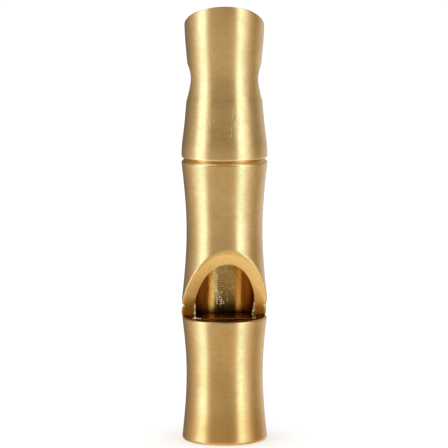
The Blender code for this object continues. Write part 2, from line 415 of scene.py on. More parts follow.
def inner_border(inside):
    tip = math.acos(ramp(Z_STEP) / R_BORE)
    reach = tip + 0.02 / R_BORE
    theta = window_columns(reach, inside)
    across = theta[: inside + 1] / reach
    arch = arch_height(across * tip, lambda z: R_BORE, Z_LABIUM + 1)
    arch[0] = arch[-1] = Z_STEP
    fade = fade_out(across, END_FADE)
    wobble = Wander(5, 9, 6, 30)
    # the chamfers along the bore widen towards the legs
    widening = smoothstep(0.55, 0.97, np.abs(across))
    rough = 1 + 0.18 * wobble(across * 3)
    chamfer = 0.055 + 0.18 * widening * rough
    slope = np.gradient(arch, R_BORE * across * tip)
    above = arch + np.minimum(chamfer * np.sqrt(1 + slope**2), 1.1) * fade
    above[0] = above[-1] = Z_STEP
    below = Z_STEP - 0.03 * fade
    outline = border(theta, across, tip, lambda z: R_BORE, arch, above, below)
    outline.ramp_chamfer = chamfer
    outline.step_chamfer = 0.05 + 0.185 * widening * rough
    # columns whose edge is torn
    outline.leg = smoothstep(0.80, 0.86, np.abs(across)) * (0.75 + 0.35 * wobble(across * 5)) > 0.45
    return outline


def ramp_relief(grid, calm):
    """The milled ramp is very slightly uneven."""
    wave = UNEVEN(grid[..., 0], grid[..., 1], grid[..., 2])[..., None]
    return grid + RAMP_NORMAL * wave * 0.006 * calm[..., None], np.zeros(grid.shape[:2])


def step_relief(grid, calm):
    """A faint unevenness, and torn metal along a short line on each side of the step."""
    x, forward = grid[..., 0], -grid[..., 1]
    side = np.abs(x)
    centre = 1.95 + 0.30 * (side - 3.6) * np.sign(x) + 0.12 * np.sin(x * 5.0)
    line = np.exp(-((forward - centre) / 0.22) ** 2)
    far = np.where(x > 0, 3.7, 4.3)
    line = line * smoothstep(2.9, 3.15, side) * (1 - smoothstep(far, far + 0.35, side))
    torn = line * np.clip(BURR(x * 2.6, forward * 2.6) + 0.15, 0, 1.6)
    grid = grid.copy()
    grid[..., 2] += calm * (0.004 * UNEVEN(x, forward) + 0.14 * torn)
    return grid, np.clip(torn * 1.3, 0, 1) * calm


def cut_face(tube, across, outer_edge, inner_edge, slot, relief, power):
    """A face of the window, from the outside to the bore; power shapes how relief fades."""
    shares = np.concatenate([[0, 0.02], np.linspace(0.06, 0.94, 60), [0.98, 1]])
    calm = np.sin(np.pi * shares[:, None]) ** power * fade_out(across, 0.05)
    points, torn = relief(span(outer_edge, inner_edge, shares), calm)

    def pick(r, c):
        return "torn" if torn[r, c] > 0.35 or torn[r + 1, c + 1] > 0.35 else slot

    tube.grid(points, pick, edge=torn)


def build_window(tube, outer, inner):
    """The ramp and the step, with the softened edges round them."""
    fade = fade_out(outer.across, END_FADE)
    ramp_out = inward(outer.ramp_corner, inner.ramp_corner, np.maximum(outer.soft * 1.1, 0.05))
    ramp_in = inward(inner.ramp_corner, outer.ramp_corner, np.maximum(inner.ramp_chamfer, 0.03))
    step_out = inward(outer.step_corner, inner.step_corner, 0.30 * fade + 0.05 * (1 - fade))
    step_in = inward(inner.step_corner, outer.step_corner, inner.step_chamfer)
    # the two faces share their end lines
    for end in (0, -1):
        step_out[end] = ramp_out[end]
        step_in[end] = ramp_in[end]

    tube.grid(bend(outer.ramp_edge, outer.ramp_corner, ramp_out, 8), "skin")
    tube.grid(bend(outer.step_edge, outer.step_corner, step_out, 8), "skin", edge=0.3)
    cut_face(tube, outer.across, ramp_out, ramp_in, "ramp", ramp_relief, power=0.5)
    cut_face(tube, outer.across, step_out, step_in, "step", step_relief, power=0.4)

    def ramp_slot(r, c):
        if inner.leg[c] and r < 3:
            return "torn"
        return "rim" if r < 2 else "bore"

    def step_slot(r, c):
        return "torn" if inner.leg[c] and r < 3 else "step"

    tube.grid(bend(ramp_in, inner.ramp_corner, inner.ramp_edge, 4), ramp_slot, edge=0.5)
    tube.grid(bend(step_in, inner.step_corner, inner.step_edge, 4), step_slot, edge=0.5)


# ---------------------------------------------------------------------- tube
TURNING_PITCH = 0.30            # of the turning marks in the bore

# upright rows of flecks on the back wall, painted glints that glow faintly: angle from the back
# (positive towards -X) and half width in radians, lowest and highest z, share of the turning marks
# that carry one
FLECK_ROWS = (
    (0.155, 0.020, 17.4, 22.0, 0.90), (0.085, 0.012, 17.3, 19.4, 0.62),
    (0.035, 0.020, 17.4, 18.9, 0.80), (-0.01, 0.012, 17.2, 19.6, 0.30),
    (-0.09, 0.012, 17.6, 20.5, 0.16), (-0.20, 0.012, 17.6, 20.0, 0.10),
    (0.24, 0.012, 18.2, 21.4, 0.14),
)


def build_outside(tube, outer):
    """Outer surface, with the arch of the window left out. Gives its top height."""
    rows_low = unique_rows(
        R_CORNER * (1 - np.cos(np.linspace(0, np.pi / 2, 9)[1:])),
        np.linspace(R_CORNER, Z_STEP - 0.6, 110)[1:],
        np.linspace(Z_STEP - 0.6, Z_STEP, 7)[1:-1],
    )
    rows_high = unique_rows(
        np.linspace(Z_STEP, Z_GROOVE - 0.6, 9),
        np.linspace(Z_GROOVE - 0.6, Z_GROOVE + 0.6, 41),
        np.linspace(Z_GROOVE + 0.6, Z_PART - 0.9, 140),
        np.linspace(Z_PART - 0.9, Z_PART - 0.001, 30),
    )
    below = np.minimum(np.concatenate([[0.0], rows_low])[:, None], outer.low_limit)
    below = np.concatenate([below, outer.low_limit[None, :]])
    above = np.maximum(rows_high[:, None], outer.high_limit)
    above = np.concatenate([outer.high_limit[None, :], above])
    for heights in (below, above):
        highest = heights.max(axis=1)

        def pick(r, c):
            return "lip" if Z_PART - 0.45 < highest[r] < Z_PART - 0.10 else "skin"

        tube.grid(round_point(outer.theta, tube_radius(heights), heights), pick, wrap=True)
    return rows_high[-1]


def bore_flecks(z, off, phase, tooth):
    """Marks the grid cells where a fleck sits on a turning mark."""
    grit = np.random.default_rng(53).random(z.shape)
    ridge = np.clip(np.floor(phase / (2 * np.pi)).astype(int), 0, 399)
    fleck = np.zeros(z.shape, bool)
    for centre, half, low, high, share in FLECK_ROWS:
        chosen = np.random.default_rng(int(1000 + centre * 1000)).random(400)[ridge] < share
        fleck |= ((np.abs(off - centre) < half) & (z > low) & (z < high)
                  & chosen & (tooth > 0.05) & (grit < 0.8))
    return fleck


def build_bore(tube, inner):
    """The bore: turned above the step, plain where the plug fills it."""
    theta, start = inner.theta, inner.high_limit
    fine = TURNING_PITCH / 6
    z_calm = Z_LABIUM + 3.0         # the turning marks have died out here
    rows = unique_rows(
        np.arange(Z_STEP + fine, z_calm, fine), np.linspace(z_calm, Z_PART, 60))
    z = np.maximum(rows[:, None], start)
    z = np.concatenate([start[None, :], z])
    sin, cos = np.sin(theta), np.cos(theta)
    drift = Wander(31, 6, 0.2, 1.2)
    chatter = Wander(37, 10, 2.0, 14.0)
    phase = 2 * np.pi * (z / TURNING_PITCH + theta / (2 * np.pi)) + 0.5 * drift(z, sin, cos)
    tooth = np.abs(np.sin(phase / 2)) ** 0.8 - 0.55
    off = np.angle(np.exp(1j * (theta - math.pi)))      # angle from the back wall
    # the marks are deepest along the back, with a rougher patch low down
    blotch = drift(z * 0.7, 2 * sin, 2 * cos)
    patch = (np.exp(-((off - 0.04) / 0.15) ** 4)
             * smoothstep(17.0, 17.4, z) * (1 - smoothstep(20.8, 22.0, z)))
    depth = 0.0085 + (0.011 + 0.006 * blotch) * np.exp(-(off / 0.34) ** 4) + 0.008 * patch
    calm = smoothstep(0.0, 0.25, z - start) * (1 - smoothstep(Z_LABIUM + 1.0, z_calm, z))
    radius = R_BORE + calm * (depth * tooth + 0.0030 * chatter(z * 0.5, 9 * sin, 9 * cos))
    fleck = bore_flecks(z, off, phase, tooth) & (z > start + 0.3)

    def pick(r, c):
        return "fleck" if fleck[r, c] else "bore"

    tube.grid(round_point(theta, radius, z), pick, wrap=True, flip=True)

    rows = unique_rows(
        np.linspace(0.15, Z_STEP - 0.3, 60), np.linspace(Z_STEP - 0.3, Z_STEP, 5)[1:-1])
    z = np.minimum(rows[:, None], inner.low_limit)
    z = np.concatenate([z, inner.low_limit[None, :]])
    tube.grid(round_point(theta, R_BORE, z), "bore", wrap=True, flip=True)


def build_tube(materials):
    tube = Patches("skin", "ramp", "step", "bore", "rim", "torn", "fleck", "lip")
    outer = outer_border()
    inner = inner_border(len(outer.across) - 1)
    top = build_outside(tube, outer)
    build_window(tube, outer, inner)
    build_bore(tube, inner)

    # end faces: columns of the outside and of the bore pair up one to one
    shares = np.linspace(0, 1, 9)
    outside = round_point(outer.theta, tube_radius(0.0), 0.0)
    rim_start = round_point(inner.theta, R_BORE + 0.16, 0.0)
    rim_corner = round_point(inner.theta, R_BORE, 0.0)
    rim_end = round_point(inner.theta, R_BORE, 0.15)
    tube.grid(span(outside, rim_start, shares), "step", wrap=True)
    tube.grid(bend(rim_start, rim_corner, rim_end, 4), "rim", edge=1.0, wrap=True)
    outside = round_point(outer.theta, tube_radius(top), top)
    inside = round_point(inner.theta, R_BORE, Z_PART)
    tube.grid(span(outside, inside, shares), "step", wrap=True)
    return tube.build("tube_body", materials)


# ---------------------------------------------------------------------- head
RAGGED = Wander(71, 9, 1.0, 6.0)


def eye_surface(side, y, z):
    """A point of the head's flank, side being +1 for +X and -1 for -X."""
    x = side * neck_x(np.sqrt(np.maximum(head_radius(z) ** 2 - y**2, 0.0)), z)
    return np.stack([x, y, z], axis=-1)


def eye_mouth(head, side, border_theta, border_z):
    """Rings from the border of a gap in the wall to the drilled circle, and its rounded edge.

    Gives the ring's angles and its points inside the hole.
    """
    y = -head_radius(border_z) * np.cos(border_theta)
    angle = np.arctan2(border_z - Z_EYE, y)
    sin, cos = np.sin(angle), np.cos(angle)
    # the lower lip of the mouth was left ragged by the drill
    torn = smoothstep(0.35, 0.95, -sin)
    rough = (1 + 0.12 * RAGGED(sin * 2 + side, cos * 2)
             + 0.5 * torn * np.abs(RAGGED(np.sin(angle * 3) * 2, np.cos(angle * 3) * 2)))
    lip_y = (EYE_R + EYE_EDGE * rough) * cos
    lip_z = Z_EYE + (EYE_R + EYE_EDGE * rough) * sin
    rings = np.array([
        eye_surface(side, y + (lip_y - y) * t, border_z + (lip_z - border_z) * t)
        for t in np.linspace(0, 1, 18)
    ])
    # displaced metal stands up slightly round the torn lip, more on the -X side
    lift = np.zeros(len(rings))
    lift[-4:-1] = (0.3, 0.8, 0.6)
    lumps = np.clip(0.3 + RAGGED(np.sin(angle * 2) * 3, np.cos(angle * 2) * 3), 0, 1.5)
    height = 0.04 if side > 0 else 0.10
    rings[..., 0] += side * height * lift[:, None] * torn * lumps
    burst = torn * np.clip(0.4 + RAGGED(np.sin(angle * 3) * 3, np.cos(angle * 3) * 3), 0, 1)

    def ring_slot(r, c):
        return "torn" if burst[c] > 0.55 and r >= len(rings) - 4 else "skin"

    def edge_slot(r, c):
        return "torn" if burst[c] > 0.45 and r < 5 else "rim"

    head.grid(rings, ring_slot, wrap=True)
    knee = eye_surface(side, EYE_R * cos, Z_EYE + EYE_R * sin)
    inside = knee.copy()
    inside[:, 0] -= side * EYE_EDGE * 1.1 * rough
    head.grid(bend(rings[-1], knee, inside, 6), edge_slot, edge=1.0, wrap=True)
    return angle, inside


def eye_hole(head, near, far):
    """The drilled wall between the two mouths."""
    (near_angle, near_ring), (far_angle, far_ring) = near, far
    # the far ring runs the other way round, so its points are paired in reverse
    gap = np.abs(np.angle(np.exp(1j * (far_angle - near_angle[0]))))
    start = int(np.argmin(gap))
    count = len(far_angle)
    far_ring = far_ring[[(start - k) % count for k in range(count)]]
    shares = np.linspace(0, 1, 60)
    wall = span(near_ring, far_ring, shares)
    feed = Wander(83, 6, 1.0, 4.0)
    x = wall[..., 0]
    spin = np.arctan2(wall[..., 2] - Z_EYE, wall[..., 1])
    calm = np.clip(np.sin(np.pi * shares[:, None]), 0, 1) ** 0.3
    radius = EYE_R + calm * (0.006 * np.sin(2 * np.pi * x / 0.35 + spin)
                             + 0.004 * feed(x, np.sin(spin), np.cos(spin)))
    wall[..., 1] = radius * np.cos(spin)
    wall[..., 2] = Z_EYE + radius * np.sin(spin)
    wall[0], wall[-1] = near_ring, far_ring
    head.grid(wall, "hole", wrap=True)


def slanted_end(head, theta, wall_top, end, soft):
    """A softened rim and a flat with the marks of the cut."""
    corner = round_point(theta, head_radius(end), end)
    middle = np.array([0.0, 0.0, slant(0.0)])
    flat_edge = inward(corner, middle, soft)
    head.grid(bend(wall_top, corner, flat_edge, 7), "skin", wrap=True)
    shares = np.concatenate([[0, 0.01], np.linspace(0.03, 0.97, 44)])
    flat = span(flat_edge, middle, shares)
    marks = Wander(101, 9, 0.3, 2.0)
    calm = np.clip(shares[:, None] / 0.05, 0, 1)
    x, y = flat[..., 0], flat[..., 1]
    flat[..., 2] += calm * (0.006 * marks(x * 0.4, y * 2.6)
                            + 0.003 * np.sin(2 * np.pi * y / 0.42))
    ids = head.grid(flat, "sawn", wrap=True)
    head.fan(ids[-1], middle, "sawn")


def build_head(materials):
    head = Patches("skin", "hole", "seat", "sawn", "rim", "lip", "torn")
    theta = np.linspace(-math.pi, math.pi, COLUMNS + 1)[:-1]
    z_even = 51.4                   # rows are level up to here
    rows = unique_rows(
        np.linspace(Z_HEAD, Z_HEAD + 0.06, 7), np.linspace(Z_HEAD + 0.075, Z_HEAD + 0.33, 18),
        np.linspace(Z_HEAD + 0.35, Z_HEAD + 0.9, 14), np.linspace(Z_HEAD + 0.9, z_even, 130),
    )
    # the wall's upper border follows the slanted cut
    end = np.full(COLUMNS, Z_TOP)
    for _ in range(12):
        end = slant(-head_radius(end) * np.cos(theta))
    soft = 0.10 * (1 + 0.10 * RAGGED(2 * np.sin(theta), 2 * np.cos(theta)))
    # the +X side of the rim was eased more than the rest
    soft = soft + 0.34 * smoothstep(0.45, 0.95, np.sin(theta))
    t = np.linspace(0, 1, 56)[1:, None]
    z = np.concatenate([
        np.repeat(rows[:, None], COLUMNS, axis=1), z_even + (end - soft - z_even) * t])
    wall = round_point(theta, head_radius(z), z)
    wall[..., 0] = neck_x(wall[..., 0], z)

    # a block of the grid round each mouth of the eye is left out
    half = int(round(1.95 / 4.6 / (2 * math.pi / COLUMNS)))
    low = int(np.searchsorted(rows, Z_EYE - 1.75))
    high = int(np.searchsorted(rows, Z_EYE + 1.75))
    blocks = []
    for side in (1, -1):
        middle = int(np.argmin(np.abs(theta - side * math.pi / 2)))
        blocks.append((side, middle - half, middle + half))

    def wall_slot(r, c):
        if low <= r < high and any(first <= c < last for _, first, last in blocks):
            return None
        return "lip" if 0.08 < z[r, 0] - Z_HEAD < 0.36 else "skin"

    head.grid(wall, wall_slot, wrap=True)
    slanted_end(head, theta, wall[-1], end, soft)

    mouths = []
    for side, first, last in blocks:
        loop = [(low, c) for c in range(first, last)] + [(r, last) for r in range(low, high)]
        loop += [(high, c) for c in range(last, first, -1)]
        loop += [(r, first) for r in range(high, low, -1)]
        loop_rows, loop_columns = np.array(loop).T
        mouths.append(eye_mouth(head, side, theta[loop_columns], rows[loop_rows]))
    eye_hole(head, *mouths)

    # shoulder and spigot, hidden in the tube: radius, height
    section = [
        (head_radius(Z_HEAD), Z_HEAD), (SPIGOT_R + 0.05, Z_HEAD), (SPIGOT_R, Z_HEAD - 0.05),
        (SPIGOT_R, SPIGOT_Z + 0.3), (SPIGOT_R - 0.3, SPIGOT_Z), (2.0, SPIGOT_Z), (0.4, SPIGOT_Z),
    ]
    ids = head.grid(np.array([round_point(theta, r, z) for r, z in section]), "seat", wrap=True)
    head.fan(ids[-1], [0.0, 0.0, SPIGOT_Z], "seat")
    return head.build("head_body", materials, turn=HEAD_TURN)


# ---------------------------------------------------------------------- plug
ARC_POINTS = 150
CHORD_POINTS = 40
END_ROWS = 26


def plug_outline(inset, z):
    """D outline at height z, inset all round."""
    radius = PLUG_R - inset
    flat = PLUG_FLAT - inset
    limit = math.acos(min(flat / radius, 1.0))
    curve = round_point(np.linspace(limit, 2 * math.pi - limit, ARC_POINTS), radius, z)
    half = radius * math.sin(limit)
    x = np.linspace(-half, half, CHORD_POINTS + 2)[1:-1]
    line = np.stack([x, np.full(CHORD_POINTS, -flat), np.full(CHORD_POINTS, z)], axis=-1)
    return np.concatenate([curve, line])


def build_plug(materials):
    plug = Patches("side", "top", "flat", "rim")
    low = PLUG_LOW.z
    # inset, height
    rows = [(0.9, low), (0.20, low), (0.06, low + 0.06), (0.0, low + 0.20)]
    rows += [(0.0, z) for z in np.linspace(low + 0.4, Z_STEP - PLUG_EDGE - 0.05, 60)]
    rows += [(0.0, Z_STEP - PLUG_EDGE), (PLUG_EDGE * 0.3, Z_STEP - PLUG_EDGE * 0.3)]
    rows += [(PLUG_EDGE, Z_STEP)]
    rows += [(inset, Z_STEP) for inset in np.linspace(0.15, 1.9, END_ROWS)]
    points = np.array([plug_outline(inset, z) for inset, z in rows])
    # facing marks and a faint unevenness on the inner end
    facing = Wander(97, 8, 0.5, 3.0)
    end = points[-END_ROWS:]
    x, y = end[..., 0], end[..., 1]
    end[..., 2] += 0.0030 * np.sin(2 * np.pi * np.hypot(x, y) / 0.22) + 0.0025 * facing(x, y)
    top_row = len(rows) - END_ROWS - 1

    def pick(r, c):
        if r >= top_row:
            return "top"
        if c < ARC_POINTS - 1:
            return "side"
        if r >= top_row - 3:
            return "rim"
        return "flat" if r > 2 else "side"

    ids = plug.grid(points, pick, wrap=True)
    plug.fan(ids[0], points[0].mean(axis=0), "side")
    plug.fan(ids[-1], points[-1].mean(axis=0), "top")
    return plug.build("plug_body", materials)


# ------------------------------------------------------------------- materials
class Nodes:
    """Short ways to add and link shader nodes in an emptied tree."""

    def __init__(self, tree):
        self.tree = tree
        tree.nodes.clear()

    def add(self, kind, **settings):
        node = self.tree.nodes.new(kind)
        for key, value in settings.items():
            setattr(node, key, value)
        return node

    def feed(self, socket, value):
        """Links an output, or sets a number or an RGB colour."""
        if isinstance(value, bpy.types.NodeSocket):
            self.tree.links.new(value, socket)
        elif isinstance(value, tuple):
            socket.default_value = (*value, 1.0)
        else:
            socket.default_value = value

    def node(self, kind, inputs, **settings):
        """Adds a node and feeds its inputs, given by name or by number."""
        node = self.add(kind, **settings)
        for key, value in inputs.items():
            self.feed(node.inputs[key], value)
        return node

    def math(self, operation, *values):
        return self.node("ShaderNodeMath", dict(enumerate(values)), operation=operation).outputs[0]

    def plus(self, a, b):
        return self.math("ADD", a, b)

    def minus(self, a, b):
        return self.math("SUBTRACT", a, b)

    def times(self, a, b):
        return self.math("MULTIPLY", a, b)

    def ramp(self, value, start, end, low=0.0, high=1.0):
        """Smooth step: low where value is start, high where it is end."""
        inputs = {"Value": value, "From Min": start, "From Max": end, "To Min": low, "To Max": high}
        node = self.node("ShaderNodeMapRange", inputs, interpolation_type="SMOOTHSTEP")
        return node.outputs["Result"]

    def noise(self, vector, scale, detail=3.0, rough=0.5, distortion=0.0):
        inputs = {"Vector": vector, "Scale": scale, "Detail": detail, "Roughness": rough,
                  "Distortion": distortion}
        return self.node("ShaderNodeTexNoise", inputs).outputs["Fac"]

    def combine(self, *values):
        return self.node("ShaderNodeCombineXYZ", dict(enumerate(values))).outputs[0]

    def stretch(self, axes, scales):
        """Texture vector from axes, each with its own scale."""
        return self.combine(*[self.times(axis, scale) for axis, scale in zip(axes, scales)])

    def mix(self, fac, a, b, blend="MIX"):
        inputs = {0: fac, 6: a, 7: b}
        node = self.node("ShaderNodeMix", inputs, data_type="RGBA", blend_type=blend)
        return node.outputs[2]

    def bump(self, height, distance, strength=1.0, normal=None):
        inputs = {"Strength": strength, "Distance": distance, "Height": height}
        if normal is not None:
            inputs["Normal"] = normal
        return self.node("ShaderNodeBump", inputs).outputs["Normal"]


# scales of the coarse, middle and fine grain along each texture axis
GRAIN_SCALES = {
    # lines run round the axis: direction x, direction y, z
    "turned": ((1.6, 1.6, 3.2), (4.2, 4.2, 7.5), (9.0, 9.0, 19.0)),
    # lines run along x: x, z
    "milled": ((0.5, 2.6), (1.2, 6.0), (3.0, 14.0)),
    # rings round the axis: direction x, direction y, radius
    "faced": ((1.5, 1.5, 3.0), (4.0, 4.0, 7.0), (9.0, 9.0, 16.0)),
}

# painted light: the lighter colour of a faced end seen square on, a painted reflection on the bore's
# flanks, and painted shade on its far sides, above the step and at the feet of the window's legs
SQUARE_ON_COLOUR = (0.82, 0.55, 0.23)
BORE_FLANK_PAINTED_REFLECTION = (1.0, 0.50, 0.11)
BORE_FAR_SHADE_DIRECT = (0.60, 0.30, 0.075)
BORE_FAR_BOUNCED = (0.95, 0.62, 0.26)
PAINTED_SHADE_LEAST = 0.04              # brightness left where the painted shade is deepest
FOOT_SHADE_LEFT = (0.50, 0.36, 0.13)
FOOT_SHADE_RIGHT = (0.55, 0.40, 0.16)
UNSHADED = (1.0, 1.0, 1.0)


def warmer_low_down(m, colour):
    """Colour grows warmer below the window's step, and warmer and darker again at the mouth end."""
    warm = m.ramp(m.z, start=17.5, end=13.0)
    colour = m.mix(warm, colour, (1.0, 0.935, 0.84), "MULTIPLY")
    return m.mix(m.ramp(m.z, start=5.5, end=2.0), colour, (0.95, 0.87, 0.78), "MULTIPLY")


def bore_shade(m, colour):
    """Painted light in the bore: a warmer painted reflection on the flanks, painted shade on the far
    sides and above the step, and dashed turning marks.
    """
    # distance from an upright plane through the axis, 6 degrees round from the YZ plane
    across = m.math("ABSOLUTE", m.minus(m.times(m.x, 0.9945), m.times(m.y, 0.1045)))
    inside = m.ramp(m.z, start=14.0, end=15.5)
    # painted reflection: the flanks, where the soft boxes show, are painted a warmer, deeper orange
    flank = m.times(m.ramp(across, start=1.38, end=1.58), inside)
    # painted shade: the far sides are painted darker as seen directly, and lighter as seen after a
    # bounce, since light finds them only after several bounces
    bounced = m.math("MINIMUM", m.add("ShaderNodeLightPath").outputs["Ray Depth"], 1.0)
    far = m.mix(bounced, BORE_FAR_SHADE_DIRECT, BORE_FAR_BOUNCED)
    # short dashes of darker and lighter metal along the turning marks of the back wall
    dash = m.noise(m.stretch((m.nx, m.ny, m.z), (9.0, 9.0, 7.5)), scale=1.0, detail=2.0, rough=0.6)
    dash = m.ramp(dash, start=0.36, end=0.64, low=0.68, high=1.22)
    colour = m.mix(1.0, colour, m.combine(dash, dash, dash), "MULTIPLY")
    colour = m.mix(flank, colour, BORE_FLANK_PAINTED_REFLECTION)
    colour = m.mix(m.times(m.ramp(across, start=2.05, end=2.30), inside), colour, far)
    # painted shade above the step, reaching higher in the middle than at the flanks
    level = m.plus(m.z, m.times(m.minus(m.mottle, 0.5), 0.8))
    middle = m.ramp(level, start=16.5, end=20.0, low=PAINTED_SHADE_LEAST)
    outer = m.ramp(level, start=16.4, end=18.0, low=PAINTED_SHADE_LEAST)
    step_shade = m.plus(m.times(outer, flank), m.times(middle, m.minus(1.0, flank)))
    step_shade = m.math("MAXIMUM", step_shade, m.ramp(m.z, start=15.6, end=13.5))
    return m.mix(1.0, colour, m.combine(step_shade, step_shade, step_shade), "MULTIPLY")


def leg_foot_shade(m, colour):
    """Painted shade: the foot of each leg is painted a darker brown where it reflects the dark step,
    the left (-X) one further up.
    """
    left = m.mix(m.ramp(m.z, start=17.9, end=19.9), FOOT_SHADE_LEFT, UNSHADED)
    right = m.mix(m.ramp(m.z, start=17.4, end=19.0), FOOT_SHADE_RIGHT, UNSHADED)
    foot_shade = m.mix(m.ramp(m.x, start=-1.0, end=1.0), left, right)
    return m.mix(1.0, colour, foot_shade, "MULTIPLY")


def low_angle_shade(m, colour):
    """Painted shade: the face is painted dark where seen at a low angle and turns lighter when seen
    square on.
    """
    facing = m.node("ShaderNodeLayerWeight", {"Blend": 0.5}).outputs["Facing"]
    return m.mix(m.ramp(facing, start=0.80, end=0.45), colour, SQUARE_ON_COLOUR)


def chatter_strokes(m):
    """Short slanting strokes across the front of the head; 1 on a stroke."""
    leaning = m.times(m.plus(m.x, m.times(m.z, -0.16)), 6.5)
    strokes = m.noise(m.combine(leaning, m.times(m.z, 0.50)), scale=1.0, detail=1.0, rough=0.4)
    upright = m.times(m.ramp(m.z, start=40.2, end=41.4), m.ramp(m.z, start=45.6, end=44.2))
    where = m.times(m.ramp(m.y, start=-4.2, end=-5.0), upright)
    where = m.times(where, m.ramp(m.x, start=-3.6, end=-2.4))
    where = m.times(where, m.ramp(m.x, start=2.4, end=1.0))
    return m.times(m.ramp(strokes, start=0.57, end=0.70), where)


def brass(name, base, dark, grain, rough, anisotropy, lines, mottle,
          treat=None, strokes=False, graze=None, metal=1.0, glow=0.0):
    """Brass with its finish.

    grain is a key of GRAIN_SCALES; lines and mottle scale the strength of the grain and of
    the blotches; treat adds a local change of colour, some of it painted light or shade; graze tints
    reflections at low angles; glow makes the colour glow, a painted light.
    """
    material = bpy.data.materials.new(name)
    material.use_nodes = True
    m = Nodes(material.node_tree)
    scaled = m.add("ShaderNodeVectorMath", operation="SCALE")
    m.feed(scaled.inputs[0], m.add("ShaderNodeTexCoord").outputs["Object"])
    m.feed(scaled.inputs["Scale"], 1000.0)
    mm = scaled.outputs[0]
    m.x, m.y, m.z = m.node("ShaderNodeSeparateXYZ", {0: mm}).outputs
    if grain == "milled":
        axes = (m.x, m.z)
    else:
        radius = m.math("SQRT", m.plus(m.times(m.x, m.x), m.times(m.y, m.y)))
        safe = m.math("MAXIMUM", radius, 0.05)
        m.nx = m.math("DIVIDE", m.x, safe)
        m.ny = m.math("DIVIDE", m.y, safe)
        axes = (m.nx, m.ny, m.z if grain == "turned" else radius)

    coarse, middle, fine = [
        m.noise(m.stretch(axes, scales), scale=1.0, detail=detail, rough=0.6)
        for scales, detail in zip(GRAIN_SCALES[grain], (3.0, 3.0, 2.0))
    ]
    m.mottle = m.noise(mm, scale=1.15, detail=4.0, rough=0.62, distortion=0.4)
    cloud = m.noise(mm, scale=0.22, detail=3.0, rough=0.55, distortion=0.3)
    grit = m.noise(mm, scale=7.0, detail=3.0, rough=0.65)

    # colour: slow clouds of oxide, fine mottling, pale streaks, brighter worn edges
    wear = m.add("ShaderNodeAttribute", attribute_name="edge").outputs["Fac"]
    pale = tuple(min(1.0, c * 1.12) for c in base)
    bright = tuple(min(1.0, c * 1.10 + 0.03) for c in base)
    tarnish = m.ramp(cloud, start=0.35, end=0.75)
    speck = m.ramp(m.mottle, start=0.30, end=0.75)
    streak = m.ramp(middle, start=0.38, end=0.72)
    colour = m.mix(m.times(tarnish, 0.45 * mottle), base, dark)
    colour = m.mix(m.times(speck, 0.30 * mottle), colour, dark)
    colour = m.mix(m.times(streak, 0.16 * lines), colour, pale)
    colour = m.mix(m.times(wear, 0.6), colour, bright)
    if treat is not None:
        colour = treat(m, colour)

    # roughness: varied by the mottling and the grain, lower on worn edges
    roughness = rough
    for texture, amount in ((m.mottle, 0.16 * mottle), (coarse, 0.12 * lines), (fine, 0.10 * lines)):
        roughness = m.plus(roughness, m.times(m.minus(texture, 0.5), amount))
    roughness = m.minus(roughness, m.times(wear, 0.06))
    roughness = m.math("MAXIMUM", roughness, 0.08)

    # relief: grain lines, grit and shallow handling dents; distances in metres
    height = m.plus(m.times(coarse, 0.9 * lines), m.times(middle, 0.55 * lines))
    height = m.plus(height, m.times(fine, 0.30 * lines))
    height = m.plus(height, m.times(grit, 0.03 * mottle))
    normal = m.bump(height, distance=0.000002)
    dents = m.noise(mm, scale=0.55, detail=2.0, rough=0.5)
    normal = m.bump(dents, distance=0.000006 * mottle, strength=0.6, normal=normal)
    if strokes:
        stroke = chatter_strokes(m)
        normal = m.bump(stroke, distance=0.000006, normal=normal)
        colour = m.mix(m.times(stroke, 0.35), colour, dark)

    inputs = {
        "Base Color": colour,
        "Metallic": metal,
        "Roughness": roughness,
        "Anisotropic": anisotropy,
        "Anisotropic Rotation": 0.25,
        "Tangent": m.add("ShaderNodeTangent", direction_type="RADIAL", axis="Z").outputs[0],
        "Normal": normal,
    }
    if glow:
        inputs["Emission Color"] = colour
        inputs["Emission Strength"] = glow
    if graze is not None:
        inputs["Specular Tint"] = graze
    shader = m.node("ShaderNodeBsdfPrincipled", inputs)
    m.node("ShaderNodeOutputMaterial", {"Surface": shader.outputs[0]})
    return material


BASE = (0.85, 0.565, 0.235)
DARK = (0.71, 0.435, 0.155)

skin = brass(
    "brushed_brass", BASE, DARK, "turned", rough=0.25, anisotropy=0.82,
    lines=1.8, mottle=1.8, treat=warmer_low_down)
head_skin = brass(
    "brushed_brass_head", BASE, DARK, "turned", rough=0.25, anisotropy=0.82,
    lines=1.8, mottle=1.8, treat=warmer_low_down, strokes=True)
milled = brass(
    "milled_brass", (0.93, 0.62, 0.245), (0.82, 0.51, 0.17), "milled", rough=0.30,
    anisotropy=0.2, lines=1.2, mottle=1.5, treat=leg_foot_shade, metal=0.74)
# the dark colours of the faced ends are painted shade, for faces seen at a low angle
faced = brass(
    "faced_brass", (0.44, 0.26, 0.10), (0.26, 0.14, 0.05), "faced", rough=0.30,
    anisotropy=0.2, lines=0.8, mottle=1.0, treat=low_angle_shade, graze=(0.40, 0.27, 0.14))
plug_end = brass(
    "plug_end_brass", (0.58, 0.34, 0.12), (0.36, 0.19, 0.06), "faced", rough=0.20,
    anisotropy=0.2, lines=0.8, mottle=1.0, treat=low_angle_shade, graze=(0.55, 0.36, 0.17))
plug_edge = brass(
    "plug_edge_brass", (0.50, 0.32, 0.14), (0.24, 0.13, 0.05), "milled", rough=0.32,
    anisotropy=0.1, lines=1.0, mottle=2.4)
drilled = brass(
    "drilled_brass", (1.0, 0.64, 0.22), (0.82, 0.47, 0.12), "turned", rough=0.32,
    anisotropy=1.0, lines=1.4, mottle=0.7, treat=bore_shade, graze=(0.75, 0.50, 0.25))
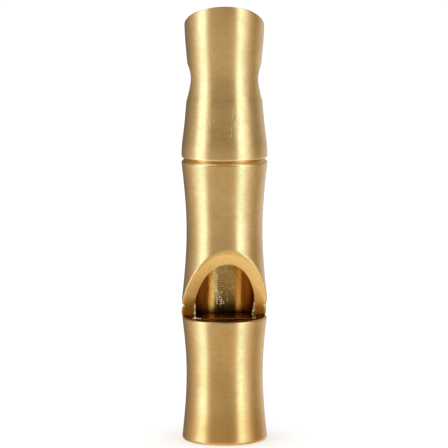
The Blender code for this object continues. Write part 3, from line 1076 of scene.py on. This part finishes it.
# edges lighter with wear, and in part a painted highlight drawing thin light lines along them
edges = brass(
    "worn_and_highlit_brass_edge", (0.90, 0.68, 0.36), (0.80, 0.56, 0.27), "turned", rough=0.34,
    anisotropy=0.1, lines=0.6, mottle=0.8, treat=warmer_low_down)
# torn metal, painted pale and partly diffuse so that it shows as bright glints: real burrs with a
# painted highlight
torn = brass(
    "torn_brass_painted_glint", (1.0, 0.83, 0.55), (0.95, 0.68, 0.36), "milled", rough=0.38,
    anisotropy=0.0, lines=0.6, mottle=1.0, metal=0.2)
# painted glint: the flecks glow faintly, though nothing lights them
fleck = brass(
    "glowing_painted_glint", (1.0, 0.86, 0.62), (1.0, 0.80, 0.52), "milled", rough=0.38,
    anisotropy=0.0, lines=0.6, mottle=1.0, metal=0.2, glow=0.22)
# its lighter colour is painted light, so that the reflections between the groove's walls stay bright
lip = brass(
    "parting_lip_brass", (0.93, 0.65, 0.30), (0.80, 0.52, 0.20), "turned", rough=0.28,
    anisotropy=0.75, lines=1.2, mottle=1.2, treat=warmer_low_down)
# painted shade: the eye's drilled wall is painted darker
eye_wall = brass(
    "eye_wall_brass", (0.62, 0.40, 0.16), (0.38, 0.22, 0.08), "milled", rough=0.28,
    anisotropy=0.1, lines=1.0, mottle=1.0, graze=(0.5, 0.35, 0.2))
sawn = brass(
    "sawn_brass_end", BASE, DARK, "milled", rough=0.28, anisotropy=0.3,
    lines=0.8, mottle=0.8)

# materials follow the order of each piece's slot names
tube = build_tube([skin, milled, faced, drilled, edges, torn, fleck, lip])
head = build_head([head_skin, eye_wall, faced, sawn, edges, lip, torn])
plug = build_plug([drilled, plug_end, drilled, plug_edge])
for piece, node, slot in (
    (tube, "whistle_tube", "tube_brass"),
    (head, "head_cap", "head_brass"),
    (plug, "fipple_plug", "plug_brass"),
):
    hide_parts(node)
    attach(piece, "root")


# ---------------------------------------------------------------------- stage
VIEW_AZIMUTH = -6.0             # degrees from the front towards +X
VIEW_PITCH = 7.4
VIEW_ROLL = -0.0010             # radians
DISTANCE = 0.408
TARGET = Vector((0, 0, 0.029))
VIEW_WIDTH = 0.05997323         # seen across the frame at the target
SENSOR_WIDTH = 36.0
SHIFT_X = -0.0012276786         # shares of the frame's width
SHIFT_Y = 0.0011160714

STUDIO_TURN = VIEW_AZIMUTH - 3.2    # bearing of the studio's zero
PEAK = 2.6                      # brightness that a wall colour of 1 stands for
FLOOR_GLOW = (0.92 / PEAK, 0.83 / PEAK, 0.57 / PEAK)
CEILING = 0.42
PLAIN_STRENGTH = 1.06           # white seen by the camera and by diffuse light

# grey walls and two tall soft boxes: degrees from the studio's zero, brightness
STUDIO = [
    (-180, 0.50), (-165, 0.20), (-148, 0.24), (-136, 0.31), (-125, 0.38), (-115, 0.49),
    (-105, 0.60), (-96, 0.82), (-87, 1.10), (-79, 1.48), (-71, 1.90), (-63, 1.98), (-56, 1.78),
    (-49, 1.00), (-43, 0.65), (-36, 0.56), (-20, 0.53), (14, 0.51), (24, 0.56), (31, 0.63),
    (37, 0.86), (43, 1.48), (49, 1.98), (56, 1.92), (63, 1.50), (71, 1.12), (79, 0.80),
    (90, 0.57), (104, 0.43), (116, 0.48), (140, 0.74),
]


def tint(brightness):
    """The soft boxes are cooler than the walls."""
    rise = max(brightness - 0.49, 0.0)
    red = max(1.05 - 0.27 * rise, 0.6)
    blue = 0.93 + 0.50 * (1 - math.exp(-rise / 0.6))
    return (brightness * red / PEAK, brightness / PEAK, brightness * blue / PEAK)


def wall_colours(sky, share):
    walls = sky.node("ShaderNodeValToRGB", {0: share})
    walls.color_ramp.interpolation = "LINEAR"
    stops = walls.color_ramp.elements
    while len(stops) > 1:
        stops.remove(stops[-1])
    for i, (azimuth, brightness) in enumerate(STUDIO):
        place = (azimuth + 180) / 360
        stop = stops[0] if i == 0 else stops.new(place)
        stop.position = place
        stop.color = (*tint(brightness), 1.0)
    return walls.outputs[0]


def build_world():
    world = bpy.data.worlds.new("studio")
    bpy.context.scene.world = world
    world.use_nodes = True
    # the walls differ between reflections and diffuse light, so rays alone must find them
    world.cycles.sampling_method = "NONE"
    sky = Nodes(world.node_tree)
    generated = sky.add("ShaderNodeTexCoord").outputs["Generated"]
    x, y, z = sky.node("ShaderNodeSeparateXYZ", {0: generated}).outputs
    # azimuth as a share of a turn: 0.5 at the studio's zero, growing towards +X
    bearing = sky.math("ARCTAN2", x, sky.times(y, -1.0))
    turned = sky.math("MULTIPLY_ADD", bearing, 1 / (2 * math.pi), 0.5 - STUDIO_TURN / 360.0)
    share = sky.math("FRACT", turned)
    walls = wall_colours(sky, share)
    # the soft boxes are tall, so at their bearings the walls fade less towards the poles
    sideways = sky.times(sky.math("ABSOLUTE", sky.math("SINE", bearing)), 1.0)
    beam = sky.ramp(sideways, start=0.55, end=0.90, low=1.0, high=0.15)
    down = sky.times(sky.ramp(z, start=-0.50, end=-0.80), beam)
    up = sky.times(sky.ramp(z, start=0.45, end=0.85), beam)
    # the grey walls are darker above the horizon and lighter below it; the boxes the other way
    off_axis = sky.math("ABSOLUTE", sky.math("MULTIPLY_ADD", share, 360.0, -180.0))
    box = sky.times(
        sky.ramp(off_axis, start=34.0, end=44.0), sky.ramp(off_axis, start=92.0, end=74.0))
    wall_tone = sky.ramp(z, start=-0.35, end=0.28, low=1.12, high=0.58)
    box_tone = sky.ramp(z, start=-0.35, end=0.28, low=0.96, high=1.22)
    tone = sky.plus(sky.times(box, box_tone), sky.times(sky.minus(1.0, box), wall_tone))
    toned = sky.node("ShaderNodeVectorMath", {0: walls, "Scale": tone}, operation="SCALE")
    around = sky.mix(down, toned.outputs[0], FLOOR_GLOW)
    around = sky.mix(up, around, tint(CEILING))
    studio = sky.node("ShaderNodeBackground", {"Strength": PEAK, "Color": around})
    plain = sky.node(
        "ShaderNodeBackground", {"Strength": PLAIN_STRENGTH, "Color": (1.0, 1.0, 1.0)})
    path = sky.add("ShaderNodeLightPath").outputs
    is_plain = sky.math("MAXIMUM", path["Is Camera Ray"], path["Is Diffuse Ray"])
    choose = sky.node(
        "ShaderNodeMixShader", {0: is_plain, 1: studio.outputs[0], 2: plain.outputs[0]})
    sky.node("ShaderNodeOutputWorld", {"Surface": choose.outputs[0]})


def build_floor():
    """Pale round floor just under the whistle, left out of reflections."""
    bpy.ops.mesh.primitive_circle_add(
        vertices=96, radius=0.6, fill_type="NGON", location=(0, 0, -0.00002))
    floor = bpy.context.object
    floor.name = "floor"
    material = bpy.data.materials.new("pale_floor")
    material.use_nodes = True
    pale = Nodes(material.node_tree)
    clouds = pale.noise(pale.add("ShaderNodeTexCoord").outputs["Object"], scale=30.0)
    shader = pale.node("ShaderNodeBsdfPrincipled", {
        "Base Color": pale.mix(clouds, (0.93, 0.93, 0.925), (0.96, 0.96, 0.955)),
        "Roughness": 0.8,
        "Specular IOR Level": 0.0,
        "Emission Color": (1.0, 1.0, 1.0),
        "Emission Strength": 0.12,
    })
    pale.node("ShaderNodeOutputMaterial", {"Surface": shader.outputs[0]})
    floor.data.materials.append(material)
    floor.visible_glossy = False


def build_camera():
    scene = bpy.context.scene
    data = bpy.data.cameras.new("camera")
    camera = bpy.data.objects.new("camera", data)
    scene.collection.objects.link(camera)
    scene.camera = camera
    azimuth, pitch = math.radians(VIEW_AZIMUTH), math.radians(VIEW_PITCH)
    direction = Vector((
        math.sin(azimuth) * math.cos(pitch), -math.cos(azimuth) * math.cos(pitch),
        math.sin(pitch)))
    camera.location = TARGET + direction * DISTANCE
    aim = direction.to_track_quat("Z", "Y").to_matrix()
    camera.rotation_euler = (aim @ Matrix.Rotation(VIEW_ROLL, 3, "Z")).to_euler()
    data.sensor_width = SENSOR_WIDTH
    data.lens = SENSOR_WIDTH * DISTANCE / VIEW_WIDTH
    data.shift_x = SHIFT_X
    data.shift_y = SHIFT_Y
    data.clip_start = 0.01
    data.clip_end = 10.0


build_world()
build_floor()
build_camera()
bpy.context.scene.view_settings.view_transform = "Standard"
bpy.context.scene.view_settings.look = "None"
